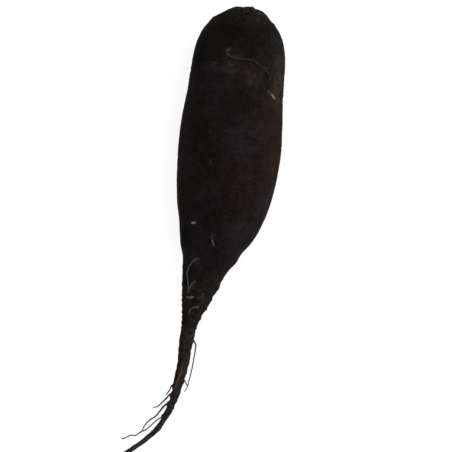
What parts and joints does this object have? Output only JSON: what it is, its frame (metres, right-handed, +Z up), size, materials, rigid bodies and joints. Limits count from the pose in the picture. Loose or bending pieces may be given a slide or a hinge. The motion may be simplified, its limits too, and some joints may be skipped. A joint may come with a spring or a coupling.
{
  "type": "black radish",
  "caption": "Long black winter radish, pulled and topped: dark rough-skinned taproot lying on its side, with cut leaf stalks at the crown and fine side roots along a curving tail.",
  "frame": {"origin": "on the pressed-flat strip of the underside, below the middle of the swollen root", "axes": "+Y towards the crown where the leaves were cut, +Z up from the surface it lies on, +X to the right seen from above with the crown away; the tail runs along -Y and curves towards -X"},
  "size_m": [0.1337, 0.2842, 0.061],
  "materials": {
    "skin": "near-black brown root skin, matt and finely wrinkled, with a few pale nicks",
    "cut_stalk": "dried leaf stalk, dark brown outside with a pale buff cut end",
    "rootlet": "dry side root, dull grey-brown"
  },
  "bodies": {
    "root": {"radish_root": "skin", "leaf_stalk_01": "cut_stalk", "leaf_stalk_02": "cut_stalk", "leaf_stalk_03": "cut_stalk", "leaf_stalk_04": "cut_stalk", "leaf_stalk_05": "cut_stalk", "leaf_stalk_06": "cut_stalk", "leaf_stalk_07": "cut_stalk", "leaf_stalk_08": "cut_stalk", "leaf_stalk_09": "cut_stalk", "leaf_stalk_10": "cut_stalk", "leaf_stalk_11": "cut_stalk", "leaf_stalk_12": "cut_stalk", "shoulder_hair_root": "rootlet", "shoulder_side_hair": "rootlet", "belly_stub_root": "rootlet", "curled_side_root": "rootlet", "forked_side_root": "rootlet", "crosswise_stub_root": "rootlet", "hooked_side_root": "rootlet", "tail_crossing_root": "rootlet", "long_right_side_root": "rootlet", "short_right_side_root": "rootlet", "upper_left_side_root": "rootlet", "second_left_side_root": "rootlet", "third_left_side_root": "rootlet", "longest_left_side_root": "rootlet"}
  },
  "joints": []
}
